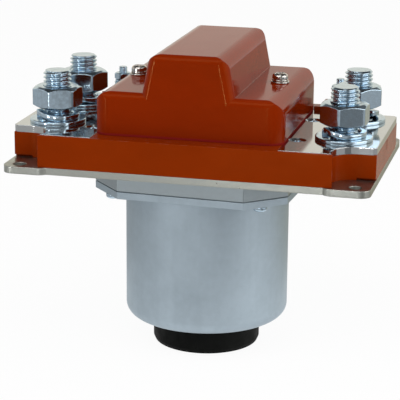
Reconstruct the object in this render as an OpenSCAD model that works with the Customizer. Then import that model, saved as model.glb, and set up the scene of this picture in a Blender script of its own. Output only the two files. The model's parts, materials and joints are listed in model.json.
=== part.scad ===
// Direct-current contactor: one normally open pole closed by a solenoid in a drawn steel can.
// Millimetres, +Z up; the origin is the middle of the rubber foot's underside.
// +X runs along the base from one power terminal pair to the other, +Y to the coil terminals.

/* [Foot and can] */
// height of the rubber foot
cap_h = 12.9; // [9:0.1:14]
// outer radius of the rubber foot
cap_r = 23.4; // [21:0.1:28]
// outer radius of the can
can_r = 35.5; // [34:0.1:44]
// height of the can under its flange
can_h = 59.4; // [50:0.1:90]
// sheet thickness of the can
can_wall = 2; // [1.5:0.25:3]
// outside radius of the can's lower edge
can_round = 5.1; // [4:0.1:10]
// thickness of the can's flange
flange_t = 3; // [2.5:0.5:5]

/* [Yoke] */
// thickness of the yoke plate
yoke_t = 7; // [4:0.5:8]
// how far the yoke and the can's flange stand out past the can, along X
rim_l = 6.8; // [5.5:0.1:12]
// how far the yoke and the can's flange stand out past the can, along Y
rim_w = 5.5; // [4:0.1:8]
// distance of the flange screws outside the can's wall
clamp_out = 10; // [8:0.1:11]
// distance of the flange screws from the yoke's cut corners
clamp_edge = 2.8; // [2.8:0.1:6]
// how far the yoke, the flange and their screws are turned about the can, in degrees
clamp_turn = -3; // [-4:0.5:4]

/* [Mounting plate] */
// thickness of the mounting plate
plate_t = 3; // [2:0.5:4]
// how far an ear stands out past the base's sides
ear_out = 1.7; // [0.5:0.1:6]
// distance of the ear holes from the base's ends
hole_in_l = 6.5; // [6:0.1:7.5]
// distance of the ear holes from the base's long sides
hole_in_w = 3.5; // [3:0.1:4]
// diameter of the ear holes
hole_d = 5.5; // [4.5:0.5:6]

/* [Base] */
// length of the base
base_l = 155; // [152:1:190]
// width of the base over its long sides
base_w = 92; // [91:1:112]
// width of the base's two ends
end_w = 61; // [59:1:63]
// height of the base under the contact plates
floor_h = 10.8; // [10.4:0.2:16]
// height of the front lip over the seat of the contact plates
lip_h = 2.9; // [1:0.1:2.9]

/* [Power terminals] */
// thickness of the contact plates
contact_t = 3; // [2.8:0.1:5]
// distance of the power studs from the base's ends
stud_in = 15.5; // [14.5:0.1:16.5]
// spacing of the power studs along Y
stud_dy = 36.4; // [34:0.2:38]
// height of a power stud over its contact plate
stud_h = 22.2; // [19:0.2:34]
// thickness of the flat washers
flat_t = 1.6; // [1.5:0.1:3]
// height that a spring washer takes up
spring_h = 4.8; // [3:0.1:5]
// height of the power nuts
nut_h = 9.2; // [6:0.1:12]

/* [Cover] */
// length of the cover along X
cover_l = 80; // [78:1:82]
// width of the cover along Y
cover_w = 77; // [75:1:79]
// height of the cover's shoulders over the contact plates
shoulder_h = 18.3; // [17:0.1:24]
// height of the cover's middle over the contact plates
hump_h = 34.9; // [28:0.1:45]
// width of the raised middle at its top
hump_top = 32.6; // [28:0.2:36]
// width of the raised middle where it meets the shoulders
hump_foot = 39.2; // [37:0.2:44]
// wall of the cover
cover_wall = 2.6; // [2:0.2:3.4]

/* [Contacts and travel] */
// travel of the plunger
travel = 6; // [5:0.5:6.5]
// how much further the plunger goes once the contacts touch
overtravel = 2; // [1:0.5:2.5]
// radius of the plunger and the core
plunger_r = 12; // [10:0.2:15]

/* [Hidden] */
gap = 0.1;                              // left between the contacts at full travel
tip_h = 2;
z_can = cap_h;
z_flange = z_can + can_h;
z_yoke = z_flange + flange_t;
z_plate = z_yoke + yoke_t;
z_base = z_plate + plate_t;
z_seat = z_base + floor_h;
z_top = z_seat + contact_t;
z_lip = z_seat + lip_h;
z_shoulder = z_top + shoulder_h;
z_hump = z_top + hump_h;
z_nut = z_top + flat_t + spring_h;
z_stud = z_top + stud_h;

sheet_t = 0.8;                          // insulating sheet under the live bolt heads
sheet = [base_l - 8, end_w - 6.5];
head_k = 7;                             // M12 bolt head
head_s = 18;
stud_r = 6;
thread_mean = 0.9;                      // mean radius of a thread as a share of its outer radius
nut_s = 19;
z_head = z_base + sheet_t;
stud_at = [base_l/2 - stud_in, stud_dy/2];
hole_at = [base_l/2 - hole_in_l, base_w/2 - hole_in_w];
scoop = hole_at - [1, 2.2];             // centre of the hollow round each ear hole
scoop_r = 9.8;
shelf = 1.8;                            // the narrow ends stand clear of the mounting plate's corners

yoke_l = 2*(can_r + rim_l);
yoke_w = 2*(can_r + rim_w);
clamp_at = (can_r + clamp_out)*cos(45);
yoke_cut = (yoke_l + yoke_w)/2 - 2*clamp_at - clamp_edge*sqrt(2);
clamp_r = 2;
clamp_hole = 2.15;

can_in = can_r - can_wall;
sleeve_in = plunger_r + 0.06;
sleeve_r = sleeve_in + 0.9;
bobbin_in = sleeve_r + 0.3;
bobbin_top = z_flange + 2;
bobbin_foot = z_can + can_wall + 0.2;
flange_r = can_in - 0.7;
winding_r = flange_r - 2.4;
neck_h = 5;                             // drawn neck of the can that the foot grips
neck_r = cap_r - 3.2;

stop_t = 1;
plunger_top = z_plate - stop_t;
plunger_l = 38;
plunger_foot = plunger_top - plunger_l;
core_top = plunger_foot - travel - gap;
spring_bore = 5.2;
return_deep = 12;
shaft_r = 4;
shaft_hole = shaft_r + 2;               // the shaft's way through the plates

post_at = [cover_l/2 - 9, 0.3];
post_r = 4.8;
cover_screw_r = 2;
cover_flat_t = 0.8;
cover_split_h = 1.1;
z_post = z_top + 4;

bridge_t = 4;
z_tip = z_top + tip_h;                  // top of the fixed contact tips
z_bridge = z_tip + gap + (travel - overtravel) + tip_h;
bridge_l = 2*(post_at[0] - post_r - 2.2);
bridge_w = 38;
tip_r = 4.5;
tip_at = [bridge_l/2 - 6.5, bridge_w/2 - 7.5];
bush_t = 3;
collar_t = 2;
collar_r = 6;
retainer_t = 1.6;
shaft_nut_h = 4;
shaft_end = 1.5;                        // threaded end that stands out of the nut
shaft_top = z_hump - cover_wall - 2;
spring_top = shaft_top - shaft_end - shaft_nut_h - retainer_t;
spring_turns = max(1, floor((spring_top - z_bridge - bridge_t - 2)/2.6));

plate_in = tip_at[0] - 7.1;             // inner end of the contact plates
plate_front = cover_w/2 - 4.5;          // their front edge under the cover
plate_back = end_w/2 + 1.5;             // and their back edge
plate_side = base_w/2 - 1.5;            // their front edge past the cover
plate_gap = 0.12;
plate_screws = [[cover_l/2 + 3.8, -25], [cover_l/2 + 3.8, 12.8]];
plate_screw_r = 1.5;
plate_screw_h = 1.6;                    // height of its countersunk head
sunk = 0.5;                             // how far the head lies under the contact plate's face

boss_h = 2.5;                           // height of the coil terminal bosses over the contact plates
z_boss = z_top + boss_h;
boss = [14, base_w/2 - end_w/2 - 2.5];
boss_y = (base_w - boss[1])/2;
ridge = [4, 3.8];                       // low ridge between the cover and a boss
ridge_h = 1.8;
coil_at = [cover_l/2 + 10.4, base_w/2 - 4.8];
coil_r = 2;
coil_nut_s = 7;
coil_nut_h = 3;
coil_flat_t = 0.7;
coil_split_h = 1.1;
coil_stud_h = 10.6;                     // height of a coil stud over its boss
z_coil_nut = z_boss + coil_nut_h + coil_flat_t + coil_split_h;
coil_head = z_seat - 1;
coil_head_h = 2.8;
lead_r = 1.4;
lead_at = (flange_r - 4.35)*[cos(22), sin(22)];
lead_hole = lead_r + 0.8;

orange = [0.60, 0.17, 0.03];
zinc = [0.66, 0.69, 0.72];
nickel = [0.74, 0.72, 0.67];
steel = [0.60, 0.61, 0.63];
copper = [0.80, 0.45, 0.28];
brass = [0.80, 0.66, 0.36];
silver = [0.86, 0.86, 0.84];
black = [0.07, 0.07, 0.075];
ivory = [0.85, 0.82, 0.72];

$fn = 96;

// Shared shapes.

module at_corners(x, y) {
  for (i = [-1, 1]) for (j = [-1, 1]) translate([i*x, j*y, 0]) children();
}

// The four flange screws, turned with the yoke.
module at_clamps() {
  rotate([0, 0, clamp_turn]) at_corners(clamp_at, clamp_at) children();
}

module both(x, y, z = 0) {
  for (i = [-1, 1]) translate([i*x, y, z]) children();
}

module rrect(l, w, r) {
  square([l - 2*r, w], center = true);
  square([l, w - 2*r], center = true);
  at_corners(l/2 - r, w/2 - r) circle(r = r);
}

module octagon(l, w, c) {
  polygon([[-l/2, c - w/2], [c - l/2, -w/2], [l/2 - c, -w/2], [l/2, c - w/2],
           [l/2, w/2 - c], [l/2 - c, w/2], [c - l/2, w/2], [-l/2, w/2 - c]]);
}

// Ring between two radii.
module ring(r_out, r_in, h) {
  difference() {
    cylinder(r = r_out, h = h);
    translate([0, 0, -1]) cylinder(r = r_in, h = h + 2);
  }
}

// Hexagon across flats s with both end faces turned off at 30 degrees.
module hex_body(s, h) {
  r = s/2/cos(30);
  face = 0.45*s;
  k = (r - face)*tan(30);
  intersection() {
    cylinder(r = r, h = h, $fn = 6);
    rotate_extrude() polygon([[0, 0], [face, 0], [r, k], [r, h - k], [face, h], [0, h]]);
  }
}

module hex_nut(s, h, r) {
  difference() {
    hex_body(s, h);
    translate([0, 0, -1]) cylinder(r = thread_mean*r, h = h + 2);
  }
}

// Threaded shank with a turned-off end. Inside each nut, a [start, height] pair, the meeting
// threads are drawn at their mean radius.
module shank(r, h, nuts) {
  c = r*0.16;
  difference() {
    union() {
      cylinder(r = r, h = h - c);
      translate([0, 0, h - c]) cylinder(r1 = r, r2 = r - c, h = c);
    }
    for (n = nuts) translate([0, 0, n[0]]) ring(r + 1, thread_mean*r, n[1]);
  }
}

// Split spring washer, flattened but for its last quarter, which bends up clockwise, seen from above,
// to the high end at the X axis.
module split_washer(r_out, r_in, t, h) {
  bent = 75;
  flat = 270;
  tilt = asin(0.7*(h - t)/(r_out*sin(bent)));
  rotate([0, 0, -17]) mirror([0, 1, 0]) {
    rotate_extrude(angle = flat) translate([r_in, 0]) square([r_out - r_in, t]);
    rotate([0, 0, flat - 3]) rotate([tilt, 0, 0])
      rotate_extrude(angle = bent + 1) translate([r_in + 0.4, 0]) square([r_out - r_in - 0.45, t]);
  }
}

// Coil spring of round wire: half turns, each tilted so that its end meets the next one.
module coil_spring(r, wire, turns, h) {
  rise = (h - 2*wire)/(2*turns);
  tilt = asin(rise/(2*r));
  for (i = [0 : 2*turns - 1])
    translate([0, 0, wire + (i + 0.5)*rise])
      rotate([0, 0, i % 2 == 0 ? 0 : 180])
        rotate([0, tilt, 0])
          rotate_extrude(angle = 180) translate([r, 0]) circle(r = wire);
  for (i = [0 : 2*turns])
    translate([i % 2 == 0 ? r : -r, 0, wire + i*rise]) sphere(r = wire);
}

// Pan head with a cross recess.
module pan_head(r, h) {
  difference() {
    rotate_extrude() polygon([[0, 0], [r, 0], [r, h*0.45], [r*0.88, h*0.8], [r*0.6, h], [0, h]]);
    for (a = [0, 90])
      rotate([0, 0, a + 20]) translate([-r*0.55, -r*0.13, h - r*0.32]) cube([r*1.1, r*0.26, r]);
  }
}

// Foot and can.

module rubber_cap() {
  color(black)
    rotate_extrude()
      polygon([[0, 0], [cap_r - 2.2, 0], [cap_r - 0.7, 0.6], [cap_r, 2.2], [cap_r, cap_h - 0.8],
               [cap_r - 0.6, cap_h],
               [neck_r, cap_h], [neck_r, cap_h - neck_h], [neck_r - 3, cap_h - neck_h],
               [neck_r - 3, 2.4], [0, 2.4]]);
}

module can() {
  color(zinc) {
    rotate_extrude() difference() {
      union() {
        translate([0, z_can]) square([can_r - can_round, can_h]);
        translate([0, z_can + can_round]) square([can_r, can_h - can_round]);
        translate([can_r - can_round, z_can + can_round]) circle(r = can_round);
        translate([0, z_can - neck_h]) square([neck_r, neck_h]);
      }
      translate([-60, z_can - neck_h - 1]) square([65.2, can_h + neck_h + 2]);
      translate([0, z_can - neck_h - 1]) square([neck_r - can_wall, neck_h + 1]);
      translate([0, z_can + can_wall]) square([can_r - can_round, can_h]);
      translate([0, z_can + can_round]) square([can_in, can_h]);
      translate([can_r - can_round, z_can + can_round]) circle(r = can_round - can_wall);
    }
    translate([0, 0, z_flange])
      linear_extrude(height = flange_t) difference() {
        rotate([0, 0, clamp_turn]) octagon(yoke_l, yoke_w, yoke_cut);
        circle(r = can_in);
        at_clamps() circle(r = clamp_hole);
      }
  }
}

module core_nut() {
  color(zinc) translate([0, 0, z_can - 6.6]) hex_nut(17, 5, 5/thread_mean);
}

module core_washer() {
  color(zinc) translate([0, 0, z_can - 1.6]) ring(9, 5, 1.6);
}

// Magnet system.

module fixed_core() {
  color(steel)
    rotate_extrude()
      polygon([[0, z_can - 7.4], [4.4, z_can - 7.4], [5, z_can - 6.8], [5, z_can + can_wall],
               [plunger_r, z_can + can_wall], [plunger_r, core_top - 0.6], [plunger_r - 0.6, core_top],
               [spring_bore, core_top], [spring_bore, core_top - return_deep], [0, core_top - return_deep]]);
}

module guide_sleeve() {
  color(brass) translate([0, 0, z_can + can_wall]) ring(sleeve_r, sleeve_in, z_plate - z_can - can_wall);
}

module bobbin() {
  color(ivory) difference() {
    union() {
      translate([0, 0, bobbin_foot]) ring(bobbin_in + 1.6, bobbin_in, bobbin_top - bobbin_foot);
      translate([0, 0, bobbin_foot + can_round]) ring(flange_r, bobbin_in, 2);
      translate([0, 0, bobbin_foot]) ring(can_r - can_round - 0.5, bobbin_in, can_round + 0.5);
      translate([0, 0, bobbin_top - 2]) ring(flange_r, bobbin_in, 2);
    }
    both(lead_at[0], lead_at[1], bobbin_top - 3) cylinder(r = lead_r + 0.2, h = 4);
  }
}

module coil_winding() {
  color(copper)
    translate([0, 0, bobbin_foot + can_round + 2])
      ring(winding_r, bobbin_in + 1.6, bobbin_top - bobbin_foot - can_round - 4);
}

module coil_wrap() {
  color([0.72, 0.62, 0.22])
    translate([0, 0, bobbin_foot + can_round + 2])
      ring(winding_r + 0.5, winding_r, bobbin_top - bobbin_foot - can_round - 4);
}

// Bend of a round bar through a right angle, from upright at the origin to level along +X. It is a
// hair wider than the straight lengths, which end a little way inside it.
module elbow(bend, r) {
  translate([bend, 0, 0]) rotate([90, 0, 0]) rotate([0, 0, 90])
    rotate_extrude(angle = 90) translate([bend, 0]) circle(r = r + 0.03);
}

// Two insulated leads: up through the yoke, then along channels in the base to the coil studs.
module coil_leads() {
  z_run = z_base + 3.2;
  eye_t = 0.9;
  z_eye = coil_head - coil_head_h - eye_t;
  bend = 2.4;
  inside = 0.2;
  run = coil_at - lead_at;
  foot = bobbin_top - 2;
  color(black)
    for (i = [-1, 1]) {
      turn = i > 0 ? atan2(run[1], run[0]) : 180 - atan2(run[1], run[0]);
      translate([i*lead_at[0], lead_at[1], 0]) {
        translate([0, 0, foot]) cylinder(r = lead_r, h = z_run - bend + inside - foot);
        translate([0, 0, z_run - bend]) rotate([0, 0, turn]) elbow(bend, lead_r);
        translate([0, 0, z_run]) rotate([0, 0, turn]) translate([bend - inside, 0, 0])
          rotate([0, 90, 0]) cylinder(r = lead_r, h = norm(run) - 2*(bend - inside));
      }
      translate([i*coil_at[0], coil_at[1], z_run + bend]) {
        rotate([0, 0, turn + 180]) rotate([180, 0, 0]) elbow(bend, lead_r);
        translate([0, 0, -inside]) cylinder(r = lead_r, h = z_eye - z_run - bend + inside);
      }
      translate([i*coil_at[0], coil_at[1], z_eye]) cylinder(r = 3.6, h = eye_t);
    }
}

// The lower edge of the yoke is relieved, which shows as a seam over the can's flange.
module yoke_plate() {
  seam = [0.5, 0.4];
  color(zinc)
    translate([0, 0, z_yoke]) difference() {
      rotate([0, 0, clamp_turn]) {
        linear_extrude(height = yoke_t) octagon(yoke_l - 2*seam[0], yoke_w - 2*seam[0], yoke_cut);
        translate([0, 0, seam[1]])
          linear_extrude(height = yoke_t - seam[1]) octagon(yoke_l, yoke_w, yoke_cut);
      }
      translate([0, 0, -1]) linear_extrude(height = yoke_t + 2) {
        circle(r = sleeve_r + 0.1);
        at_clamps() circle(r = clamp_hole);
        both(lead_at[0], lead_at[1]) circle(r = lead_hole);
      }
    }
}

module stop_washer() {
  color([0.55, 0.25, 0.16]) translate([0, 0, plunger_top]) ring(plunger_r - 0.3, shaft_r + 1.2, stop_t);
}

// Plates and base.

// Oblong plate with a low rounded ear at each corner.
module plate_outline() {
  ear = [20, 17];
  ear_r = 4.5;
  square([base_l, base_w + 2*(ear_out - ear_r)], center = true);
  square([base_l - ear[0], base_w - 0.2], center = true);
  at_corners((base_l - ear[0])/2, base_w/2 + ear_out - ear[1]/2) rrect(ear[0], ear[1], ear_r);
}

module mounting_plate() {
  color(zinc)
    translate([0, 0, z_plate])
      linear_extrude(height = plate_t) difference() {
        plate_outline();
        circle(r = shaft_hole);
        at_corners(hole_at[0], hole_at[1]) circle(r = hole_d/2);
        at_clamps() circle(r = clamp_hole);
        both(lead_at[0], lead_at[1]) circle(r = lead_hole);
      }
}

module clamp_screws() {
  color(zinc)
    at_clamps() {
      translate([0, 0, z_flange - 0.001]) rotate([180, 0, 0]) pan_head(3, 2.3);
      translate([0, 0, z_flange - 0.6]) cylinder(r = clamp_r, h = z_seat - 2.2 - z_flange + 0.6);
    }
}

module insulating_sheet() {
  color([0.20, 0.20, 0.19])
    translate([0, 0, z_base])
      linear_extrude(height = sheet_t) difference() {
        square(sheet, center = true);
        circle(r = shaft_hole);
        both(lead_at[0], lead_at[1]) circle(r = lead_hole);
      }
}

// Top view of the base: broad middle, narrower ends, a hollow round each ear hole.
module base_outline() {
  difference() {
    union() {
      square([2*scoop[0], base_w], center = true);
      square([base_l, end_w], center = true);
    }
    at_corners(scoop[0], scoop[1]) circle(r = scoop_r);
  }
}

// Seat of one contact plate, grown by a clearance; side is -1 or 1.
module seat(side, c) {
  inner = plate_in - c;
  wide = cover_l/2 - 0.5;
  scale([side, 1]) difference() {
    union() {
      translate([inner, -end_w/2 + 0.01 - c]) square([base_l/2 - inner, end_w - 0.02 + 2*c]);
      translate([inner, -plate_front - c]) square([cover_l/2 - inner, plate_front + c]);
      translate([wide, -plate_side - c]) square([scoop[0] - wide, plate_side + c]);
      translate([inner, 0]) square([scoop[0] - 8 - inner + c, plate_back + c]);
    }
    translate([scoop[0], -scoop[1]]) circle(r = scoop_r);
    translate([scoop[0], scoop[1]]) circle(r = scoop_r);
  }
}

module boss_outline() {
  both(coil_at[0] - 0.2, boss_y) rrect(boss[0], boss[1], 0.8);
}

// What the contact plates and their open ends take out of the base's upper side.
module seats() {
  for (i = [-1, 1]) {
    seat(i, plate_gap);
    translate([i*(base_l/2 - 4), 0]) square([11.2, end_w + 2], center = true);
    translate([i*scoop[0], 0]) square([16.2, end_w + 0.2], center = true);
  }
}

// Pockets that lighten the base from below, with ribs between them.
module pockets() {
  side = [13, 13];
  long = [46, 13];
  y = base_w/2 - 10.5;
  for (i = [-1, 1]) for (j = [-1, 1]) translate([i*23, j*18.5]) rrect(12, 11, 2);
  both(cover_l/2 + 3.6, -y) rrect(side[0], side[1], 2);
  for (j = [-1, 1]) translate([0, j*y]) rrect(long[0], long[1], 2);
}

module base_block() {
  run = coil_at - lead_at;
  deep = floor_h - 3;
  color(orange) difference() {
    union() {
      translate([0, 0, z_base]) linear_extrude(height = z_lip - z_base) base_outline();
      // pads under the cover's front, back and middle
      translate([0, 0, z_seat])
        linear_extrude(height = contact_t) {
          translate([0.3 - cover_l/2, 3.6 - base_w/2])
            square([cover_l - 0.6, base_w/2 - 3.6 - plate_front - 0.2]);
          translate([0.3 - cover_l/2, plate_back + 0.2]) square([cover_l - 0.6, base_w/2 - plate_back - 2.1]);
          square([2*plate_in - 0.4, base_w - 8], center = true);
        }
      // raised bosses of the coil terminals, each with a ridge to the cover
      translate([0, 0, z_seat]) linear_extrude(height = contact_t + boss_h) boss_outline();
      translate([0, 0, z_seat]) linear_extrude(height = contact_t + ridge_h)
        both((cover_l + ridge[0])/2 + 0.3, plate_back + 0.2 + ridge[1]/2) square(ridge, center = true);
      // posts that take the cover screws
      both(post_at[0], post_at[1], z_seat) cylinder(r = post_r, h = z_post - z_seat);
    }
    difference() {
      translate([0, 0, z_seat]) linear_extrude(height = 2*contact_t) seats();
      both(post_at[0], post_at[1], z_seat - 1) cylinder(r = post_r, h = 20);
      translate([0, 0, z_seat - 1]) linear_extrude(height = 20) boss_outline();
    }
    // shaft bore, and a well that the collar and bush sink into
    translate([0, 0, z_base - 1]) cylinder(r = shaft_r + 0.06, h = floor_h + 20);
    translate([0, 0, z_bridge - bush_t - collar_t - travel - 0.5]) cylinder(r = collar_r + 2.4, h = 20);
    translate([0, 0, z_base - 1]) cylinder(r = shaft_hole, h = 3.5);
    // room for the insulating sheet
    translate([0, 0, z_base - 1])
      linear_extrude(height = 1 + sheet_t) square(sheet + [0.4, 0.4], center = true);
    // pockets and holes of the power studs
    at_corners(stud_at[0], stud_at[1]) {
      translate([0, 0, z_base - 1]) cylinder(r = (head_s + 0.5)/2/cos(30), h = 1 + sheet_t + head_k, $fn = 6);
      translate([0, 0, z_base]) cylinder(r = stud_r + 0.35, h = 30);
    }
    translate([0, 0, z_base - 1]) linear_extrude(height = deep) pockets();
    // clamp screws
    at_clamps() translate([0, 0, z_base - 1]) cylinder(r = clamp_r, h = floor_h - 1);
    // coil leads and studs
    for (i = [-1, 1]) {
      translate([i*lead_at[0], lead_at[1], z_base - 1])
        rotate([0, 0, i > 0 ? atan2(run[1], run[0]) : 180 - atan2(run[1], run[0])])
          translate([-3, -2, 0]) cube([norm(run) + 3, 4, 6.2]);
      translate([i*coil_at[0], coil_at[1], z_base - 1]) cylinder(r = 4.7, h = coil_head - z_base + 1);
      translate([i*coil_at[0], coil_at[1], z_base]) cylinder(r = coil_r, h = 30);
    }
    for (p = plate_screws) both(p[0], p[1], z_seat - 7.5) cylinder(r = plate_screw_r, h = 20);
    both(post_at[0], post_at[1], z_seat - 2) cylinder(r = cover_screw_r, h = 20);
    // slit in the middle of each end, and a relief under the four narrow corners
    both(base_l/2, 0, z_seat - 2) cube([6, 0.9, 5.2], center = true);
    at_corners(base_l/2 + 2, end_w/2 + 0.5) translate([0, 0, z_base]) cube([20, 4, shelf], center = true);
  }
}

// Power circuit.

module contact_plate(side) {
  deep = plate_screw_h + sunk + 0.1;
  color(nickel) difference() {
    translate([0, 0, z_seat]) linear_extrude(height = contact_t) difference() {
      seat(side, 0);
      for (j = [-1, 1]) translate([side*stud_at[0], j*stud_at[1]]) circle(r = stud_r + 0.5);
      translate([side*post_at[0], post_at[1]]) circle(r = post_r + 0.6);
      for (p = plate_screws) translate([side*p[0], p[1]]) circle(r = plate_screw_r + 0.2);
      // corners at the outer end
      for (j = [-1, 1])
        translate([side*base_l/2, j*end_w/2]) rotate([0, 0, 45]) square([1.8, 1.8], center = true);
    }
    for (p = plate_screws)
      translate([side*p[0], p[1], z_top - sunk - plate_screw_h])
        cylinder(r1 = plate_screw_r, r2 = plate_screw_r + deep, h = deep);
  }
}

module contact_plate_left() {
  contact_plate(-1);
}

module contact_plate_right() {
  contact_plate(1);
}

module plate_screws() {
  color(zinc)
    for (p = plate_screws) both(p[0], p[1]) difference() {
      union() {
        translate([0, 0, z_seat - 6.5])
          cylinder(r = plate_screw_r, h = 6.5 + contact_t - sunk - plate_screw_h + 0.1);
        translate([0, 0, z_top - sunk - plate_screw_h])
          cylinder(r1 = plate_screw_r, r2 = 3.05, h = plate_screw_h);
      }
      for (a = [15, 105]) rotate([0, 0, a]) translate([-1.6, -0.35, z_top - sunk - 0.9]) cube([3.2, 0.7, 3]);
    }
}

module fixed_tips() {
  color(silver) at_corners(tip_at[0], tip_at[1]) translate([0, 0, z_top]) cylinder(r = tip_r, h = tip_h);
}

module power_studs() {
  color(zinc)
    at_corners(stud_at[0], stud_at[1]) {
      translate([0, 0, z_head]) hex_body(head_s, head_k);
      z = z_head + head_k - 0.5;
      translate([0, 0, z]) shank(stud_r, z_stud - z, [[z_nut - z, nut_h]]);
    }
}

module flat_washers() {
  color(zinc) at_corners(stud_at[0], stud_at[1]) translate([0, 0, z_top]) ring(12, stud_r + 0.5, flat_t);
}

module spring_washers() {
  turn = [[-1, -1, 207], [1, -1, 210], [-1, 1, 245], [1, 1, 322]];
  color(zinc)
    for (t = turn)
      translate([t[0]*stud_at[0], t[1]*stud_at[1], z_top + flat_t])
        rotate([0, 0, t[2]]) split_washer(9.2, 6.4, 2.2, spring_h);
}

module power_nuts() {
  turn = [[-1, -1, 28], [1, -1, 28], [-1, 1, 11.5], [1, 1, 44]];
  color(zinc)
    for (t = turn)
      translate([t[0]*stud_at[0], t[1]*stud_at[1], z_nut]) rotate([0, 0, t[2]]) hex_nut(nut_s, nut_h, stud_r);
}

// Coil terminals.

module coil_studs() {
  color(zinc)
    both(coil_at[0], coil_at[1]) {
      translate([0, 0, coil_head - coil_head_h]) hex_body(coil_nut_s, coil_head_h);
      z = coil_head - 0.3;
      translate([0, 0, z])
        shank(coil_r, z_boss + coil_stud_h - z, [[z_boss - z, coil_nut_h], [z_coil_nut - z, coil_nut_h]]);
    }
}

module coil_lower_nuts() {
  color(zinc) both(coil_at[0], coil_at[1], z_boss) rotate([0, 0, 8]) hex_nut(coil_nut_s, coil_nut_h, coil_r);
}

module coil_flat_washers() {
  color(zinc) both(coil_at[0], coil_at[1], z_boss + coil_nut_h) ring(3.9, coil_r + 0.2, coil_flat_t);
}

module coil_spring_washers() {
  color(zinc)
    both(coil_at[0], coil_at[1], z_boss + coil_nut_h + coil_flat_t)
      rotate([0, 0, 200]) split_washer(3.6, coil_r + 0.1, 0.8, coil_split_h);
}

module coil_nuts() {
  color(zinc) both(coil_at[0], coil_at[1], z_coil_nut)
    rotate([0, 0, 22]) hex_nut(coil_nut_s, coil_nut_h, coil_r);
}

// Cover.

// Block with rounded top edges all round and rounded upright corners.
module soft_box(l, w, h, r_side, r_front, r_corner) {
  intersection() {
    linear_extrude(height = h) rrect(l, w, r_corner);
    rotate([90, 0, 0]) linear_extrude(height = w, center = true) {
      translate([0, h/2 - r_side/2]) square([l, h - r_side], center = true);
      translate([0, h/2]) square([l - 2*r_side, h], center = true);
      for (i = [-1, 1]) translate([i*(l/2 - r_side), h - r_side]) circle(r = r_side);
    }
    rotate([90, 0, 90]) linear_extrude(height = l, center = true) {
      translate([0, h/2 - r_front/2]) square([w, h - r_front], center = true);
      translate([0, h/2]) square([w - 2*r_front, h], center = true);
      for (i = [-1, 1]) translate([i*(w/2 - r_front), h - r_front]) circle(r = r_front);
    }
  }
}

// Raised middle: sloping sides with upright corners rounded to r, front and back top edges to
// r_end, and the two long top edges to r_long.
module hump(top, foot, z0, w, h, r, r_end, r_long) {
  a = atan((foot - top)/2/(h - z0));
  intersection() {
    translate([-foot, -w/2, 0]) cube([2*foot, w, h]);
    hump_side(foot, z0, w, r, a);
    mirror([1, 0, 0]) hump_side(foot, z0, w, r, a);
    rotate([90, 0, 90]) linear_extrude(height = 3*foot, center = true) {
      translate([0, h/2 - r_end/2]) square([w, h - r_end], center = true);
      translate([0, h/2]) square([w - 2*r_end, h], center = true);
      for (i = [-1, 1]) translate([i*(w/2 - r_end), h - r_end]) circle(r = r_end);
    }
    hump_top_edge(top, w, h, r_long, a);
    mirror([1, 0, 0]) hump_top_edge(top, w, h, r_long, a);
  }
}

// One sloping side: the edge of a long rounded bar leaned over.
module hump_side(foot, z0, w, r, a) {
  translate([foot/2, 0, z0]) rotate([0, -a, 0])
    translate([0, 0, -60]) linear_extrude(height = 160)
      translate([-100, 0]) rrect(200, w, r);
}

// Rounds the edge between the sloping side and the top.
module hump_top_edge(top, w, h, r, a) {
  t = r*tan((90 - a)/2);
  cx = top/2 - t;
  rotate([90, 0, 0]) linear_extrude(height = 2*w, center = true) {
    translate([cx, h - r]) circle(r = r);
    translate([-150, -50]) square([150 + cx, 50 + h]);
    polygon([[cx, h - r], [cx + r*cos(a), h - r + r*sin(a)],
             [cx + r*cos(a) + (h + 30)*tan(a), -30 + r*sin(a) - r], [cx, -50]]);
  }
}

module cover_solid(c) {
  // c is the inset: 0 for the outside, the wall for the inside
  h1 = shoulder_h - c;
  h2 = hump_h - c;
  a = atan((hump_foot - hump_top)/2/(hump_h - shoulder_h));
  side = c/cos(a);
  shift = 2*(c*tan(a) - side);
  r_end = 2.9 - c*0.6;
  soft_box(cover_l - 2*c, cover_w - 2*c, h1, 7 - c, r_end, 6.5 - c);
  hump(hump_top + shift, hump_foot + shift, h1, cover_w - 2*c, h2, 3.8 - c*0.6, r_end, 6 - c);
}

module cover() {
  color(orange) translate([0, 0, z_top]) {
    difference() {
      cover_solid(0);
      difference() {
        translate([0, 0, -0.01]) cover_solid(cover_wall);
        both(post_at[0], post_at[1]) translate([0, 0, z_post - z_top + 0.1]) cylinder(r = post_r, h = 40);
      }
      both(post_at[0], post_at[1], -1) cylinder(r = cover_screw_r + 0.3, h = 40);
    }
  }
}

module cover_flat_washers() {
  color(silver) both(post_at[0], post_at[1], z_shoulder) ring(3.95, cover_screw_r + 0.2, cover_flat_t);
}

module cover_spring_washers() {
  color(silver)
    both(post_at[0], post_at[1], z_shoulder + cover_flat_t)
      rotate([0, 0, 215]) split_washer(3.45, cover_screw_r + 0.1, 0.8, cover_split_h);
}

module cover_screws() {
  color(silver)
    both(post_at[0], post_at[1]) {
      z = z_shoulder + cover_flat_t + cover_split_h;
      translate([0, 0, z]) pan_head(3.35, 2.4);
      translate([0, 0, z_seat - 1.5]) cylinder(r = cover_screw_r, h = z + 0.5 - z_seat + 1.5);
    }
}

// Moving parts.

module plunger() {
  color(steel)
    rotate_extrude()
      polygon([[spring_bore, plunger_foot], [plunger_r - 0.6, plunger_foot], [plunger_r, plunger_foot + 0.6],
               [plunger_r, plunger_top - 0.6], [plunger_r - 0.6, plunger_top], [shaft_r, plunger_top],
               [shaft_r, plunger_top - 14], [0, plunger_top - 14], [0, plunger_foot + 10],
               [spring_bore, plunger_foot + 10]]);
}

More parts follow.
